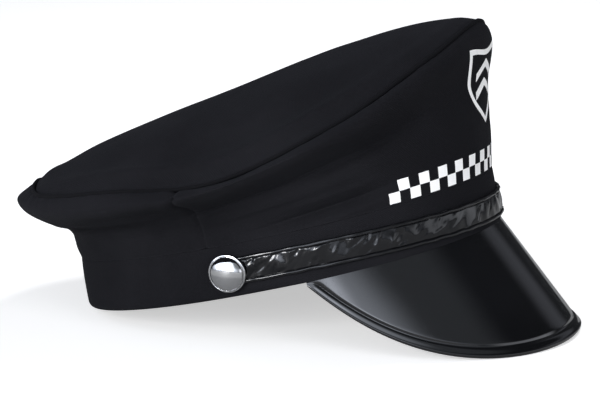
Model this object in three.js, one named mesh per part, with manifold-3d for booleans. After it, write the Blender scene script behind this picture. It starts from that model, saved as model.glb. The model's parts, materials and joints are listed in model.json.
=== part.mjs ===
// A peaked uniform cap: a stiff cloth band, a crown wall of two panels that widens upwards,
// a domed top panel with a welt along its edge, a glossy peak, and a chin strap that runs
// across the front between two buttons. Millimetres. The peak points along +X, the wearer's
// left is +Y and up is +Z. The cap stands on z = 0, on the band's rear edge and the peak's rim.

import * as THREE from 'three';
import { mergeVertices } from 'three/addons/utils/BufferGeometryUtils.js';
import Module from 'manifold-3d';

// Band
const bandLength = 206; // outside, front to back
const bandWidth = 168; // outside, side to side
const bandHeight = 24;
const bandWall = 2.5;

// Crown
const crownRise = 69; // from the band's top to the front of the top seam
const crownReach = 38; // how far the widest line stands out past the band, at the side
const clothWall = 1.5;
const domeRise = 11; // of the top panel over its seam, along the middle
const domeLean = 0.1; // share by which the dome is higher at the front, and lower at the back
const domeFullness = 4.7; // power of the dome's curve: higher is flatter with a rounder rim
const domeSettle = 2.6; // power by which the top leaves the dip of its side seams
const foldDepth = 4; // of the deepest fold in the wall
const sideSeamTop = 90.5; // degrees from the front, where a side seam meets the welt
const sideSeamFoot = 94; // degrees from the front, where it meets the band
const weltDiameter = 2;

// Peak
const peakLength = 62.7; // from the band to the rim, along the middle
const peakHeel = 3; // the same at its two ends
const peakHalfAngle = 70; // degrees round the band, from the middle to either end
const peakFullness = 2.55; // power of the rim's curve: higher is squarer
const peakCurl = 2.2; // power by which the drop grows towards the ends
const peakWall = 1.8;
const peakDrop = 65.2; // degrees below the band's plane, along the middle
const peakDropAtEnds = 88; // degrees
const peakRimWidth = 4;
const peakRimRise = 0.4;

// Strap
const strapWidth = 12.5;
const strapThickness = 1;
const strapEdge = 1.9; // diameter of the rolled edges
const strapCorner = 0.3; // chamfer of a rolled edge, a share of its diameter
const strapHeight = 11.8; // of its middle over the band's foot, at the buttons
const strapHeightFront = 8.2; // the same at the front
const strapTail = 6; // how far each end runs on past its button's middle

// Buttons
const buttonAngle = 89.5; // degrees from the front
const buttonDiameter = 17.5;
const buttonRise = 5; // of the dome
const buttonRim = 1; // thickness of the flange
const shankDiameter = 3;

// Spaces and facets
const gap = 0.3; // between pieces that touch
const roundSteps = 72; // facets all the way round
const wallRows = 11; // facets up the crown wall
const topRows = 7; // facets from the top seam to its middle
const topCrowding = 1.4; // power that draws those rows towards the seam
const peakRows = 6;
const weltSides = 8;
const buttonSides = 20;
const holeSides = 12;
const domeRings = 6; // facets from a button's flange to its middle
const turnStep = 0.01; // radians or shares, to measure a slope over
const lengthStep = 0.5; // the same, on a length
const mergeDistance = 1e-4; // points closer than this are one

// Sections through the crown wall, from the front round to the back. Angles are degrees.
// Reaches are shares of crownReach, out past the band's foot, and rises are shares of
// crownRise, up from the band's top.
const sectionColumns = [
  'angle', 'foot', 'tuck', 'tuckUp', 'shelf', 'shelfUp', 'belly', 'bellyUp', 'seam', 'seamUp',
];
const sections = [
  [0, 0.03, 0.105, 0.225, 0.22, 0.57, 0.345, 0.945, 0.3, 1.005],
  [30, 0.035, 0.115, 0.2, 0.215, 0.51, 0.43, 0.84, 0.385, 0.86],
  [60, 0.045, 0.12, 0.17, 0.355, 0.38, 0.755, 0.565, 0.61, 0.6],
  [85, 0.04, 0.1, 0.15, 0.475, 0.29, 0.98, 0.42, 0.82, 0.45],
  [105, 0.015, 0.06, 0.165, 0.455, 0.29, 0.935, 0.435, 0.845, 0.52],
  [130, -0.045, 0.01, 0.21, 0.36, 0.283, 0.745, 0.475, 0.66, 0.55],
  [155, -0.048, 0.05, 0.22, 0.22, 0.288, 0.555, 0.51, 0.26, 0.6],
  [180, -0.05, 0.08, 0.195, 0.225, 0.275, 0.52, 0.47, 0.14, 0.53],
].map((row) => Object.fromEntries(row.map((value, k) => [sectionColumns[k], value])));

// Folds in the crown wall. Angles are degrees round the band, the wearer's right below zero;
// places and spreads are shares of the way up the wall, and depths are shares of foldDepth.
const folds = [
  { from: -120, to: -15, placeFrom: 0.38, placeTo: 0.62, spread: 0.11, depth: 0.6 },
  { from: -90, to: -36, placeFrom: 0.03, placeTo: 0.18, spread: 0.06, depth: 0.35 },
  { from: -150, to: -110, placeFrom: 0.46, placeTo: 0.2, spread: 0.07, depth: 0.4 },
  { from: 20, to: 115, placeFrom: 0.6, placeTo: 0.42, spread: 0.11, depth: 0.55 },
  { from: 42, to: 88, placeFrom: 0.18, placeTo: 0.05, spread: 0.06, depth: 0.3 },
  { from: 112, to: 146, placeFrom: 0.22, placeTo: 0.42, spread: 0.07, depth: 0.35 },
];

const degrees = Math.PI / 180;
const colours = { cloth: 0x1c1d21, patent: 0x101114, chrome: 0xc9ccd0 };
const wasm = await Module();
wasm.setup();

// Angles of the facets all the way round.
const angles = Array.from({ length: roundSteps }, (_, k) => (2 * Math.PI * k) / roundSteps);

function cloth() {
  return new THREE.MeshStandardMaterial({ color: colours.cloth, roughness: 0.9, metalness: 0 });
}

function patent() {
  return new THREE.MeshStandardMaterial({ color: colours.patent, roughness: 0.15, metalness: 0 });
}

function chrome() {
  return new THREE.MeshStandardMaterial({ color: colours.chrome, roughness: 0.15, metalness: 1 });
}

// Angle in degrees, between -180 and 180.
function signedDegrees(angle) {
  return THREE.MathUtils.euclideanModulo(angle / degrees + 180, 360) - 180;
}

// Value at a place, on a smooth curve through values at given places. Its slope at each is
// the mean of the slopes either side, the nearer one weighing more; at the ends it is level
// or that of the end piece.
function smooth(places, values, place, levelEnds) {
  const last = places.length - 1;
  const run = (k) => places[k + 1] - places[k];
  const rise = (k) => (values[k + 1] - values[k]) / run(k);
  const slope = (k) => {
    if (k === 0) return levelEnds ? 0 : rise(0);
    if (k === last) return levelEnds ? 0 : rise(last - 1);
    return (rise(k - 1) * run(k) + rise(k) * run(k - 1)) / (run(k - 1) + run(k));
  };
  const index = THREE.MathUtils.clamp(places.findLastIndex((value) => value <= place), 0, last - 1);
  const q = (place - places[index]) / run(index);
  return (2 * q ** 3 - 3 * q ** 2 + 1) * values[index]
    + (q ** 3 - 2 * q ** 2 + q) * run(index) * slope(index)
    + (3 * q ** 2 - 2 * q ** 3) * values[index + 1]
    + (q ** 3 - q ** 2) * run(index) * slope(index + 1);
}

// Value of a section's column at an angle from the front, level at the front and the back.
function sectionValue(column, angle) {
  const turned = Math.abs(signedDegrees(angle));
  return smooth(sections.map((row) => row.angle), sections.map((row) => row[column]), turned, true);
}

// Direction square to the band's oval, in plan, at an angle.
function ovalNormal(angle) {
  const normal = new THREE.Vector3(Math.cos(angle) / bandLength, Math.sin(angle) / bandWidth, 0);
  return normal.normalize();
}

// Point on the band's oval, moved out along its normal, at a height.
function ovalPoint(angle, out, height) {
  const x = (bandLength / 2) * Math.cos(angle);
  const y = (bandWidth / 2) * Math.sin(angle);
  return new THREE.Vector3(x, y, height).addScaledVector(ovalNormal(angle), out);
}

// Depth of all folds at a place on the crown wall.
function foldAt(angle, share) {
  const turned = signedDegrees(angle);
  let depth = 0;
  for (const fold of folds) {
    const way = (turned - fold.from) / (fold.to - fold.from);
    if (way <= 0 || way >= 1) continue;
    const place = fold.placeFrom + (fold.placeTo - fold.placeFrom) * way;
    const off = (share - place) / fold.spread;
    depth += fold.depth * foldDepth * Math.sin(Math.PI * way) ** 2 * Math.exp(-(off ** 2));
  }
  return depth;
}

// Outside of the crown wall, from share 0 at the band to share 1 at the top seam. The share
// is counted along the straight lines between the section's points.
function wallPoint(angle, share) {
  const reaches = ['foot', 'tuck', 'shelf', 'belly', 'seam'];
  const rises = ['tuckUp', 'shelfUp', 'bellyUp', 'seamUp'];
  const out = reaches.map((name) => crownReach * sectionValue(name, angle));
  const up = [0, ...rises.map((name) => crownRise * sectionValue(name, angle))];
  const lengths = [0];
  for (let k = 1; k < out.length; k += 1) {
    lengths.push(lengths[k - 1] + Math.hypot(out[k] - out[k - 1], up[k] - up[k - 1]));
  }
  const place = share * lengths.at(-1);
  const reach = smooth(lengths, out, place, false) - foldAt(angle, share);
  return ovalPoint(angle, reach, bandHeight + gap + smooth(lengths, up, place, false));
}

// Outside of the top panel, from share 0 at its seam to share 1 at its middle. It is the
// straight line to the middle, raised to the plane of the front and back seam points as it
// leaves the rim, with a dome on top.
function topPoint(angle, share) {
  const front = wallPoint(0, 1);
  const back = wallPoint(Math.PI, 1);
  const rim = wallPoint(angle, 1);
  const middle = front.clone().lerp(back, 0.5);
  const planeAt = (x) => back.z + ((front.z - back.z) * (x - back.x)) / (front.x - back.x);
  const point = rim.clone().lerp(middle, share);
  const sag = (rim.z - planeAt(rim.x)) * (1 - share) ** domeSettle;
  const forward = (point.x - middle.x) / (front.x - middle.x);
  const dome = domeRise * (1 + domeLean * forward) * (1 - (1 - share) ** domeFullness);
  point.z = planeAt(point.x) + sag + dome;
  return point;
}

// Length of the peak at an angle, from the band to its rim.
function peakLengthAt(angle) {
  const turn = Math.min(Math.abs(angle / (peakHalfAngle * degrees)), 1);
  return peakHeel + (peakLength - peakHeel) * (1 - turn ** peakFullness);
}

// Outside of the peak at a length from the band, a straight line for each angle that
// drops more steeply towards the ends.
function peakPoint(angle, length) {
  const turn = Math.abs(angle / (peakHalfAngle * degrees));
  const drop = (peakDrop + (peakDropAtEnds - peakDrop) * turn ** peakCurl) * degrees;
  const point = ovalPoint(angle, 0, -gap);
  point.addScaledVector(ovalNormal(angle), length * Math.cos(drop));
  point.z -= length * Math.sin(drop);
  return point;
}

// Sheet moved off another one along its normal, both functions of two values.
function offset(sheet, distance, stepA, stepB) {
  return (a, b) => {
    const alongA = sheet(a + stepA, b).sub(sheet(a - stepA, b));
    const alongB = sheet(a, b + stepB).sub(sheet(a, b - stepB));
    return sheet(a, b).addScaledVector(alongA.cross(alongB).normalize(), distance);
  };
}

// Closed mesh from points and faces: like points are one, and faces that shrank to a line
// are left out. Its faces point out.
function closedMesh(points, faces) {
  const geometry = new THREE.BufferGeometry().setFromPoints(points);
  geometry.setIndex(faces.flat());
  const merged = mergeVertices(geometry, mergeDistance);
  const index = Array.from(merged.index.array);
  const kept = [];
  for (let k = 0; k < index.length; k += 3) {
    const [a, b, c] = index.slice(k, k + 3);
    if (a !== b && b !== c && c !== a) kept.push(a, b, c);
  }
  const at = (k) => new THREE.Vector3().fromBufferAttribute(merged.attributes.position, k);
  let volume = 0;
  for (let k = 0; k < kept.length; k += 3) {
    volume += at(kept[k]).dot(at(kept[k + 1]).cross(at(kept[k + 2])));
  }
  merged.setIndex(volume < 0 ? kept.reverse() : kept);
  return merged;
}

// Solid between two sheets, each given as rows of points. Where it wraps, each row is a
// closed ring.
function solidBetween(outer, inner, wraps) {
  const rows = outer.length;
  const count = outer[0].length;
  const points = [...outer.flat(), ...inner.flat()];
  const at = (side, row, column) => side * rows * count + row * count + (column % count);
  const faces = [];
  const quad = (a, b, c, d) => faces.push([a, b, c], [a, c, d]);
  const columns = wraps ? count : count - 1;
  for (let column = 0; column < columns; column += 1) {
    const next = column + 1;
    for (let row = 0; row < rows - 1; row += 1) {
      quad(at(0, row, column), at(0, row, next), at(0, row + 1, next), at(0, row + 1, column));
      quad(at(1, row + 1, column), at(1, row + 1, next), at(1, row, next), at(1, row, column));
    }
    quad(at(1, 0, column), at(1, 0, next), at(0, 0, next), at(0, 0, column));
    quad(at(0, rows - 1, column), at(0, rows - 1, next), at(1, rows - 1, next), at(1, rows - 1, column));
  }
  if (!wraps) {
    for (let row = 0; row < rows - 1; row += 1) {
      const end = count - 1;
      quad(at(0, row, 0), at(0, row + 1, 0), at(1, row + 1, 0), at(1, row, 0));
      quad(at(0, row, end), at(1, row, end), at(1, row + 1, end), at(0, row + 1, end));
    }
  }
  return closedMesh(points, faces);
}

// Rows of points from a function of two shares.
function gridOf(rows, columns, wraps, place) {
  const last = wraps ? columns - 1 : columns;
  const shares = Array.from({ length: last + 1 }, (_, column) => column / columns);
  return Array.from({ length: rows + 1 }, (_, row) => shares.map((share) => place(row / rows, share)));
}

function asSolid(geometry) {
  const bare = new THREE.BufferGeometry();
  bare.setAttribute('position', geometry.attributes.position);
  bare.setIndex(geometry.index);
  const merged = mergeVertices(bare, mergeDistance);
  const vertProperties = new Float32Array(merged.attributes.position.array);
  const triVerts = new Uint32Array(merged.index.array);
  return new wasm.Manifold(new wasm.Mesh({ numProp: 3, vertProperties, triVerts }));
}

function asGeometry(solid) {
  const mesh = solid.getMesh();
  const geometry = new THREE.BufferGeometry();
  geometry.setAttribute('position', new THREE.BufferAttribute(mesh.vertProperties, 3));
  geometry.setIndex(new THREE.BufferAttribute(mesh.triVerts, 1));
  return geometry;
}

// Outside of the band at a height over its foot. It leans out to meet the crown wall.
function bandPoint(angle, height) {
  const lean = crownReach * sectionValue('foot', angle) * (height / bandHeight);
  return ovalPoint(angle, lean, height);
}

function makeBand() {
  const heights = [0, bandHeight / 2, bandHeight];
  const outer = heights.map((height) => angles.map((angle) => bandPoint(angle, height)));
  const inner = outer.map((row) => row.map((point, k) => (
    point.clone().addScaledVector(ovalNormal(angles[k]), -bandWall))));
  return solidBetween(outer, inner, true);
}

// Angle from the front of a side seam, at a share of the way up the crown wall.
function sideSeamAt(share) {
  return (sideSeamFoot + (sideSeamTop - sideSeamFoot) * share) * degrees;
}

// Share of the wall where its edge lies under the welt.
function wallEdge(angle) {
  const speed = wallPoint(angle, 1).distanceTo(wallPoint(angle, 1 - turnStep)) / turnStep;
  return 1 - (weltDiameter / 2 + gap) / speed;
}

// One panel of the crown wall between two side seams, given as functions of the share.
function makeWall(start, end, columns) {
  const inside = offset(wallPoint, -clothWall, turnStep, turnStep);
  const place = (sheet) => (up, round) => {
    const angle = start(up) + (end(up) - start(up)) * round;
    return sheet(angle, up * wallEdge(angle));
  };
  const outer = gridOf(wallRows, columns, false, place(wallPoint));
  const inner = gridOf(wallRows, columns, false, place(inside));
  return solidBetween(outer, inner, false);
}

function makeTop() {
  const outer = gridOf(topRows, roundSteps, true, (across, round) => {
    const angle = 2 * Math.PI * round;
    const radius = topPoint(angle, 0).distanceTo(topPoint(angle, 1));
    const edge = (clothWall + gap) / radius;
    return topPoint(angle, edge + (1 - edge) * across ** topCrowding);
  });
  const inner = outer.map((row) => row.map((point) => (
    point.clone().add(new THREE.Vector3(0, 0, -clothWall)))));
  return solidBetween(outer, inner, true);
}

function makeWelt() {
  const line = new THREE.CatmullRomCurve3(angles.map((angle) => wallPoint(angle, 1)), true);
  const ring = new THREE.TubeGeometry(line, roundSteps, weltDiameter / 2, weltSides, true);
  return asGeometry(asSolid(ring));
}

function makePeak() {
  const columns = Math.round((roundSteps * 2 * peakHalfAngle) / 360);
  const outside = (lift) => offset(peakPoint, -lift, turnStep, lengthStep);
  const underside = offset(peakPoint, peakWall, turnStep, lengthStep);
  const spread = Array.from({ length: columns + 1 }, (_, k) => (
    ((2 * k) / columns - 1) * peakHalfAngle * degrees));
  const rowsAt = (angle) => {
    const length = peakLengthAt(angle);
    const rim = Math.min(peakRimWidth, length / 2);
    const field = Array.from({ length: peakRows + 1 }, (_, k) => [((length - rim) * k) / peakRows, 0]);
    return [...field, [length - rim + peakRimRise, peakRimRise], [length, peakRimRise]];
  };
  const count = rowsAt(0).length;
  const outer = Array.from({ length: count }, (_, row) => spread.map((angle) => {
    const [length, lift] = rowsAt(angle)[row];
    return outside(lift)(angle, length);
  }));
  const inner = Array.from({ length: count }, (_, row) => spread.map((angle) => (
    underside(angle, rowsAt(angle)[row][0]))));
  return solidBetween(outer, inner, false);
}

// Height of the strap's middle over the band's foot.
function strapHeightAt(angle) {
  const forward = Math.max(Math.cos(angle), 0) ** 2;
  return strapHeight + (strapHeightFront - strapHeight) * forward;
}

// Section of the strap as [out from the band, up from its middle]: a flat back, a rolled
// edge above and below, and a thinner middle.
function strapSection() {
  const half = strapWidth / 2;
  const corner = strapCorner * strapEdge;
  const lower = [
    [0, -half + corner],
    [corner, -half],
    [strapEdge - corner, -half],
    [strapEdge, -half + corner],
    [strapEdge, -half + strapEdge - corner],
    [strapThickness, -half + strapEdge],
  ];
  const upper = lower.map(([out, up]) => [out, -up]).reverse();
  return [...lower, ...upper];
}

function makeStrap() {
  const button = buttonAngle * degrees;
  const speed = ovalPoint(button, 0, 0).distanceTo(ovalPoint(button + turnStep, 0, 0)) / turnStep;
  const end = button + strapTail / speed;
  const columns = Math.round((roundSteps * end) / Math.PI);
  const section = strapSection();
  const rings = Array.from({ length: columns + 1 }, (_, k) => {
    const angle = ((2 * k) / columns - 1) * end;
    return section.map(([out, up]) => {
      const point = bandPoint(angle, strapHeightAt(angle) + up);
      return point.addScaledVector(ovalNormal(angle), gap + out);
    });
  });
  const points = rings.flat();
  const count = section.length;
  const faces = [];
  for (let ring = 0; ring < columns; ring += 1) {
    for (let k = 0; k < count; k += 1) {
      const next = (k + 1) % count;
      const here = ring * count;
      faces.push([here + k, here + next, here + count + next]);
      faces.push([here + k, here + count + next, here + count + k]);
    }
  }
  const flat = THREE.ShapeUtils.triangulateShape(section.map(([x, y]) => new THREE.Vector2(x, y)), []);
  const last = columns * count;
  for (const [a, b, c] of flat) {
    faces.push([c, b, a]);
    faces.push([last + a, last + b, last + c]);
  }
  return closedMesh(points, faces);
}

// Where a button sits: its flange lies on the strap, square to the band.
function buttonSeat(side) {
  const angle = side * buttonAngle * degrees;
  const foot = bandPoint(angle, strapHeight);
  const normal = offset(bandPoint, 1, turnStep, lengthStep)(angle, strapHeight).sub(foot);
  const position = foot.clone().addScaledVector(normal, gap + strapEdge + gap);
  const turned = new THREE.Quaternion().setFromUnitVectors(new THREE.Vector3(0, 1, 0), normal);
  return { position, turned };
}

const shankLength = gap + strapEdge + gap + bandWall;

// A flange with a domed face, and a shank that ends level with the inside of the band.
function makeButton() {
  const radius = buttonDiameter / 2;
  const domeRadius = radius - buttonRim / 2;
  const dome = Array.from({ length: domeRings }, (_, k) => {
    const angle = (k / domeRings) * (Math.PI / 2);
    return [domeRadius * Math.cos(angle), buttonRim + (buttonRise - buttonRim) * Math.sin(angle)];
  });
  const profile = [
    [0, -shankLength],
    [shankDiameter / 2, -shankLength],
    [shankDiameter / 2, 0],
    [radius, 0],
    [radius, buttonRim],
    ...dome,
    [0, buttonRise],
  ];
  const lathe = new THREE.LatheGeometry(profile.map(([x, y]) => new THREE.Vector2(x, y)), buttonSides);
  return asGeometry(asSolid(lathe));
}

// Holes for both shanks, cut through a piece.
function drilled(geometry) {
  let solid = asSolid(geometry);
  for (const side of [-1, 1]) {
    const { position, turned } = buttonSeat(side);
    const radius = shankDiameter / 2 + gap;
    const hole = new THREE.CylinderGeometry(radius, radius, 4 * shankLength, holeSides);
    hole.applyQuaternion(turned);
    hole.translate(position.x, position.y, position.z);
    solid = solid.subtract(asSolid(hole));
  }
  return asGeometry(solid);
}

const pieces = new THREE.Group(); // in the band's own frame, its foot on z = 0

function addPiece(name, geometry, material) {
  geometry.computeVertexNormals();
  const mesh = new THREE.Mesh(geometry, material);
  mesh.name = name;
  pieces.add(mesh);
  return mesh;
}

const spare = gap / bandLength; // half the angle between two panels at a side seam
const rightSeam = (side) => (share) => -sideSeamAt(share) + side * spare;
const leftSeam = (side) => (share) => sideSeamAt(share) + side * spare;
const frontColumns = Math.round((roundSteps * sideSeamTop) / 180);
const backColumns = roundSteps - frontColumns;
const onceRound = (seam) => (share) => seam(share) + 2 * Math.PI;

const band = addPiece('band', drilled(makeBand()), cloth());
addPiece('crown_front', makeWall(rightSeam(1), leftSeam(-1), frontColumns), cloth());
addPiece('crown_back', makeWall(leftSeam(1), onceRound(rightSeam(-1)), backColumns), cloth());
addPiece('crown_top', makeTop(), cloth());
addPiece('crown_welt', makeWelt(), cloth());
const peak = addPiece('peak', makePeak(), patent());
addPiece('strap', drilled(makeStrap()), patent());
for (const [side, name] of [[-1, 'button_right'], [1, 'button_left']]) {
  const button = addPiece(name, makeButton(), chrome());
  const seat = buttonSeat(side);
  button.position.copy(seat.position);
  button.quaternion.copy(seat.turned);
}

function cornersOf(mesh) {
  const points = mesh.geometry.attributes.position;
  return Array.from({ length: points.count }, (_, k) => new THREE.Vector3().fromBufferAttribute(points, k));
}

// The cap tips back until its peak and the rear of the band both touch the surface.
const heel = Math.min(...cornersOf(band).filter((p) => p.z < gap / 2).map((p) => p.x));
const tilt = Math.max(...cornersOf(peak).map((p) => Math.atan2(-p.z, p.x - heel)));
pieces.rotation.y = -tilt;

const cap = new THREE.Group();
cap.add(pieces);
cap.updateMatrixWorld(true);
const box = new THREE.Box3().setFromObject(cap, true);
cap.position.set(-(box.min.x + box.max.x) / 2, 0, -box.min.z);

export default cap;
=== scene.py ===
import json
import math

import bmesh
import bpy
import numpy as np
from mathutils import Matrix, Vector


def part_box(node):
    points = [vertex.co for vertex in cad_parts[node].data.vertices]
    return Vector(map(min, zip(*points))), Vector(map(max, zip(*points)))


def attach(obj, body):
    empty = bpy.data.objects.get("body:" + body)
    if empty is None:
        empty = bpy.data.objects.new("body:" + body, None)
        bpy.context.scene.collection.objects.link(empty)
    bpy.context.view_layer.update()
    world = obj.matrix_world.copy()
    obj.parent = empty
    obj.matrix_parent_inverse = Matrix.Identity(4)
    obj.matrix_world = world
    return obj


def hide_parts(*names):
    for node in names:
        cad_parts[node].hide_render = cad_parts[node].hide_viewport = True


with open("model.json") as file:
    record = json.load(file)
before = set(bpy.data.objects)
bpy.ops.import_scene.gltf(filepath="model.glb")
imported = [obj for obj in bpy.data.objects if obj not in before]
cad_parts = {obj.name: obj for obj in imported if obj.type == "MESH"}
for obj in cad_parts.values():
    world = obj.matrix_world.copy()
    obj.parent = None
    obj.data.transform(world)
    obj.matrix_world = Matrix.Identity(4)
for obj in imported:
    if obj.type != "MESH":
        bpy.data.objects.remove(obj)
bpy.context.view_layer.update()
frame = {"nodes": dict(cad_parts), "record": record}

# A black peaked cap: cloth band and crown, patent peak and strap, plated buttons.
# Shapes are worked out in the band's own frame, in millimetres: its foot on z = 0, the peak
# along +x. stand() tips them back and puts them where the frame holds the band.
print("frame loaded:", len(frame["nodes"]), "nodes")


# Curves and sheets

# Hermite curve through values at places. The slope at a knot is
# (rise before * run after + rise after * run before) / (run before + run after);
# at the ends it is level, or that of the end piece
def smoothCurve(places, values, place, levelEnds):
    places = np.broadcast_to(places, (len(places),) + place.shape)
    values = np.broadcast_to(values, places.shape)
    run = np.diff(places, axis=0)
    rise = np.diff(values, axis=0) / run
    inner = (rise[:-1] * run[1:] + rise[1:] * run[:-1]) / (run[:-1] + run[1:])
    ends = [rise[:1] * 0, rise[-1:] * 0] if levelEnds else [rise[:1], rise[-1:]]
    slope = np.concatenate([ends[0], inner, ends[1]])
    index = np.clip((place >= places).sum(0) - 1, 0, len(places) - 2)

    def pick(table, k):
        return np.take_along_axis(table, k[None], 0)[0]

    length = pick(run, index)
    q = (place - pick(places, index)) / length
    return ((2 * q**3 - 3 * q**2 + 1) * pick(values, index)
            + (q**3 - 2 * q**2 + q) * length * pick(slope, index)
            + (3 * q**2 - 2 * q**3) * pick(values, index + 1)
            + (q**3 - q**2) * length * pick(slope, index + 1))


# 0 below low, 1 above high, 3q^2 - 2q^3 between
def ease(value, low, high):
    q = np.clip((value - low) / (high - low), 0, 1)
    return q * q * (3 - 2 * q)


def ringAngles(count):
    return np.linspace(0, 2 * np.pi, count, endpoint=False)


# Distances between neighbouring points along an axis of a grid
def stepLengths(points, axis):
    return np.linalg.norm(np.diff(points, axis=axis), axis=-1)


def runningSum(values):
    return np.concatenate([[0], np.cumsum(values)])


# 1 at off 0 and falling to both sides: exp(-(off / reach)^2)
def hill(off, reach):
    return np.exp(-((off / reach) ** 2))


def unit(vectors):
    return vectors / np.maximum(np.linalg.norm(vectors, axis=-1, keepdims=True), 1e-9)


# Soft noise round a ring: a sum of sine waves sin(n * angle + m * up + phase) whose whole
# numbers n and real m are drawn by a seeded generator, scaled to about -1..1
def ringNoise(angle, up, turns, rises, count, seed):
    draw = np.random.default_rng(seed)
    n = draw.integers(turns[0], turns[1] + 1, count) * draw.choice([-1, 1], count)
    m = draw.uniform(rises[0], rises[1], count) * 2 * np.pi
    phase = draw.uniform(0, 2 * np.pi, count)
    total = 0 * angle
    for k in range(count):
        total = total + np.sin(n[k] * angle + m[k] * up + phase[k])
    return total / math.sqrt(count)


# Unit normals of a grid of points: slope along the columns x slope along the rows
def gridNormals(points, wraps):
    if wraps:
        across = np.roll(points, -1, 1) - np.roll(points, 1, 1)
    else:
        across = np.gradient(points, axis=1)
    return unit(np.cross(across, np.gradient(points, axis=0)))


# A grid with its first column again after the last
def wrapped(grid):
    return np.concatenate([grid, grid[:, :1]], 1)


# Corners of the quads of a grid, in turn round each
def quadsOf(grid):
    return np.stack([grid[:-1, :-1], grid[:-1, 1:], grid[1:, 1:], grid[1:, :-1]], 2)


# Lengths in metres along the rows and the columns of a grid, for a map that follows the cloth
def clothMap(points):
    u = runningSum(stepLengths(points, 1).mean(0)) / 1000
    v = runningSum(stepLengths(points, 0).mean(1)) / 1000
    return np.stack(np.broadcast_arrays(u[None, :], v[:, None]), -1)


# Closed skin between two grids of points: both sheets, the inner one turned round, and a
# strip along each open border
def skinBetween(outer, inner, wraps, cloth):
    rows, columns = outer.shape[:2]
    index = np.arange(rows * columns).reshape(rows, columns)
    if wraps:
        index = wrapped(index)
    mapIndex = np.arange(rows * index.shape[1]).reshape(rows, -1)
    quads, mapQuads = [], []
    for grid, into, step in ((index, quads, rows * columns), (mapIndex, mapQuads, 0)):
        back = grid + step
        into += [quadsOf(grid), quadsOf(back)[..., ::-1]]
        into.append(np.stack([back[0, :-1], back[0, 1:], grid[0, 1:], grid[0, :-1]], -1))
        into.append(np.stack([grid[-1, :-1], grid[-1, 1:], back[-1, 1:], back[-1, :-1]], -1))
        if not wraps:
            into.append(np.stack([grid[:-1, 0], grid[1:, 0], back[1:, 0], back[:-1, 0]], -1))
            into.append(np.stack([back[:-1, -1], back[1:, -1], grid[1:, -1], grid[:-1, -1]], -1))
    faces = np.concatenate([part.reshape(-1, 4) for part in quads])
    corners = np.concatenate([part.reshape(-1, 4) for part in mapQuads])
    points = np.concatenate([outer.reshape(-1, 3), inner.reshape(-1, 3)])
    return points, faces, cloth.reshape(-1, 2)[corners]


# Closed section carried along a path: rings is (stations, points, 3). A path that doesn't
# close has open ends, which addPiece fills when told that it is capped
def carriedSection(rings, closes):
    stations, count = rings.shape[:2]
    index = wrapped(np.arange(stations * count).reshape(stations, count))
    if closes:
        index = np.concatenate([index, index[:1]])
    outwards = [0, 3, 2, 1]  # order of a quad's corners
    faces = quadsOf(index)[:, :, outwards].reshape(-1, 4)
    lengthRound = np.linalg.norm(np.roll(rings, -1, 1) - rings, axis=-1).mean(0)
    ahead = np.roll(rings, -1, 0) if closes else rings[1:]
    lengthAlong = np.linalg.norm(ahead - rings[:len(ahead)], axis=-1).mean(1)
    u = runningSum(lengthAlong) / 1000
    v = runningSum(lengthRound) / 1000
    grid = np.stack(np.broadcast_arrays(u[:, None], v[None, :]), -1)
    cloth = quadsOf(grid)[:, :, outwards]
    return rings.reshape(-1, 3), faces, cloth.reshape(-1, 4, 2)


# Several shapes as one: their points and faces one after the other
def joined(shapes):
    starts = np.cumsum([0] + [len(points) for points, faces, cloth in shapes])
    points = np.concatenate([shape[0] for shape in shapes])
    faces = np.concatenate([shape[1] + start for shape, start in zip(shapes, starts)])
    return points, faces, np.concatenate([shape[2] for shape in shapes])


def show(thing):
    bpy.context.scene.collection.objects.link(thing)


# Makes the mesh: quads, or triangles where two corners of a quad are one, with normals
# turned outwards and edges sharper than sharp degrees split in the shading
def addPiece(name, shape, material, replaced=(), sharp=50, capped=False):
    points, faces, cloth = shape
    mesh = bpy.data.meshes.new(name)
    mesh.from_pydata(stand(points).tolist(), [], faces.tolist())
    layer = mesh.uv_layers.new(name="cloth")
    layer.data.foreach_set("uv", cloth.astype(np.float32).ravel())
    work = bmesh.new()
    work.from_mesh(mesh)
    bmesh.ops.remove_doubles(work, verts=work.verts, dist=1e-7)
    bmesh.ops.dissolve_degenerate(work, dist=1e-7, edges=work.edges)
    if capped:
        bmesh.ops.holes_fill(work, edges=work.edges, sides=0)
        bmesh.ops.triangulate(work, faces=[face for face in work.faces if len(face.verts) > 4])
    bmesh.ops.recalc_face_normals(work, faces=work.faces)
    work.to_mesh(mesh)
    work.free()
    mesh.polygons.foreach_set("use_smooth", np.ones(len(mesh.polygons), bool))
    mesh.set_sharp_from_angle(angle=math.radians(sharp))
    mesh.materials.append(material)
    piece = bpy.data.objects.new(name, mesh)
    show(piece)
    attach(piece, "root")
    if replaced:
        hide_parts(*replaced)


# Where the cap stands

bandSizes = {
    "length": 206,  # outside, front to back
    "width": 168,
    "height": 24,
    "wall": 2.5,
    "footRound": (1.8, 2.6),  # how far in and up its lower outer edge is rounded
    "squareFoot": (66, 84),  # between these angles it turns from square, over the peak, to round
    "cover": 0.2,  # how far its foot stands out over the peak's top edge
    "innerCorner": 0.3,
    "swell": 0.35,  # how far the cloth stands proud half way up
    "wobble": 0.16,  # of the cloth
    "stations": 480,
}

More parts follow.
